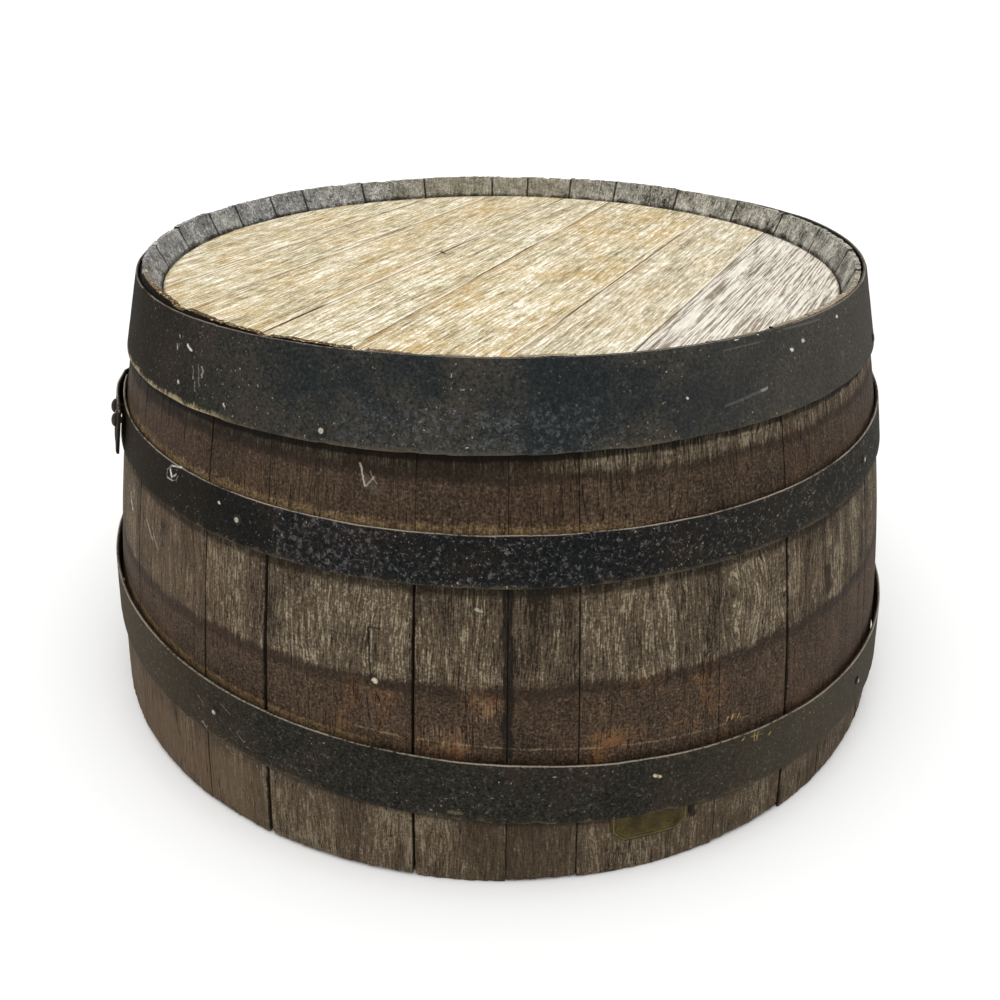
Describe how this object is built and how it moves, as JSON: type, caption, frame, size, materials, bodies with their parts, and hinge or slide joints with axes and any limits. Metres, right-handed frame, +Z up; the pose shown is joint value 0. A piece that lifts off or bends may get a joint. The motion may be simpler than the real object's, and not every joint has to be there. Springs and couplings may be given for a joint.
{
  "type": "half wine barrel",
  "caption": "Half of an oak wine barrel that stands on its sawn edge as a low table, with bowed staves, a recessed plank head and riveted iron hoops.",
  "frame": {"origin": "middle of the sawn edge's plane, on the barrel's axis, which is the bottom centre of the bounding box", "axes": "+Z up the barrel's axis towards the head, the shortest extent; the front, with the brass plate, faces -Y; +X to the right"},
  "size_m": [0.6927, 0.6931, 0.353],
  "materials": {
    "stave_oak": "weathered grey-brown oak, rough, with raised grain",
    "head_oak": "pale sun-bleached oak, dry and matt",
    "dowel_oak": "plain oak dowel",
    "hoop_iron": "blackened hoop iron, rough, with pale specks and crusted edges",
    "rivet_iron": "blackened iron, worn on the dome",
    "nail_steel": "dull worn steel with a dark ring of rust",
    "plate_brass": "tarnished olive brass"
  },
  "bodies": {
    "root": {"stave_01": "stave_oak", "stave_02": "stave_oak", "stave_03": "stave_oak", "stave_04": "stave_oak", "stave_05": "stave_oak", "stave_06": "stave_oak", "stave_07": "stave_oak", "stave_08": "stave_oak", "stave_09": "stave_oak", "stave_10": "stave_oak", "stave_11": "stave_oak", "stave_12": "stave_oak", "stave_13": "stave_oak", "stave_14": "stave_oak", "stave_15": "stave_oak", "stave_16": "stave_oak", "stave_17": "stave_oak", "stave_18": "stave_oak", "stave_19": "stave_oak", "stave_20": "stave_oak", "stave_21": "stave_oak", "stave_22": "stave_oak", "stave_23": "stave_oak", "stave_24": "stave_oak", "stave_25": "stave_oak", "stave_26": "stave_oak", "stave_27": "stave_oak", "stave_28": "stave_oak", "stave_29": "stave_oak", "head_board_1": "head_oak", "head_board_2": "head_oak", "head_board_3": "head_oak", "head_board_4": "head_oak", "head_board_5": "head_oak", "head_board_6": "head_oak", "head_board_7": "head_oak", "head_dowels": "dowel_oak", "chime_hoop": "hoop_iron", "quarter_hoop": "hoop_iron", "bilge_hoop": "hoop_iron", "chime_hoop_rivets": "rivet_iron", "quarter_hoop_rivets": "rivet_iron", "bilge_hoop_rivets": "rivet_iron", "chime_hoop_nails": "nail_steel", "quarter_hoop_nails": "nail_steel", "bilge_hoop_nails": "nail_steel", "brass_plate": "plate_brass"}
  },
  "joints": []
}
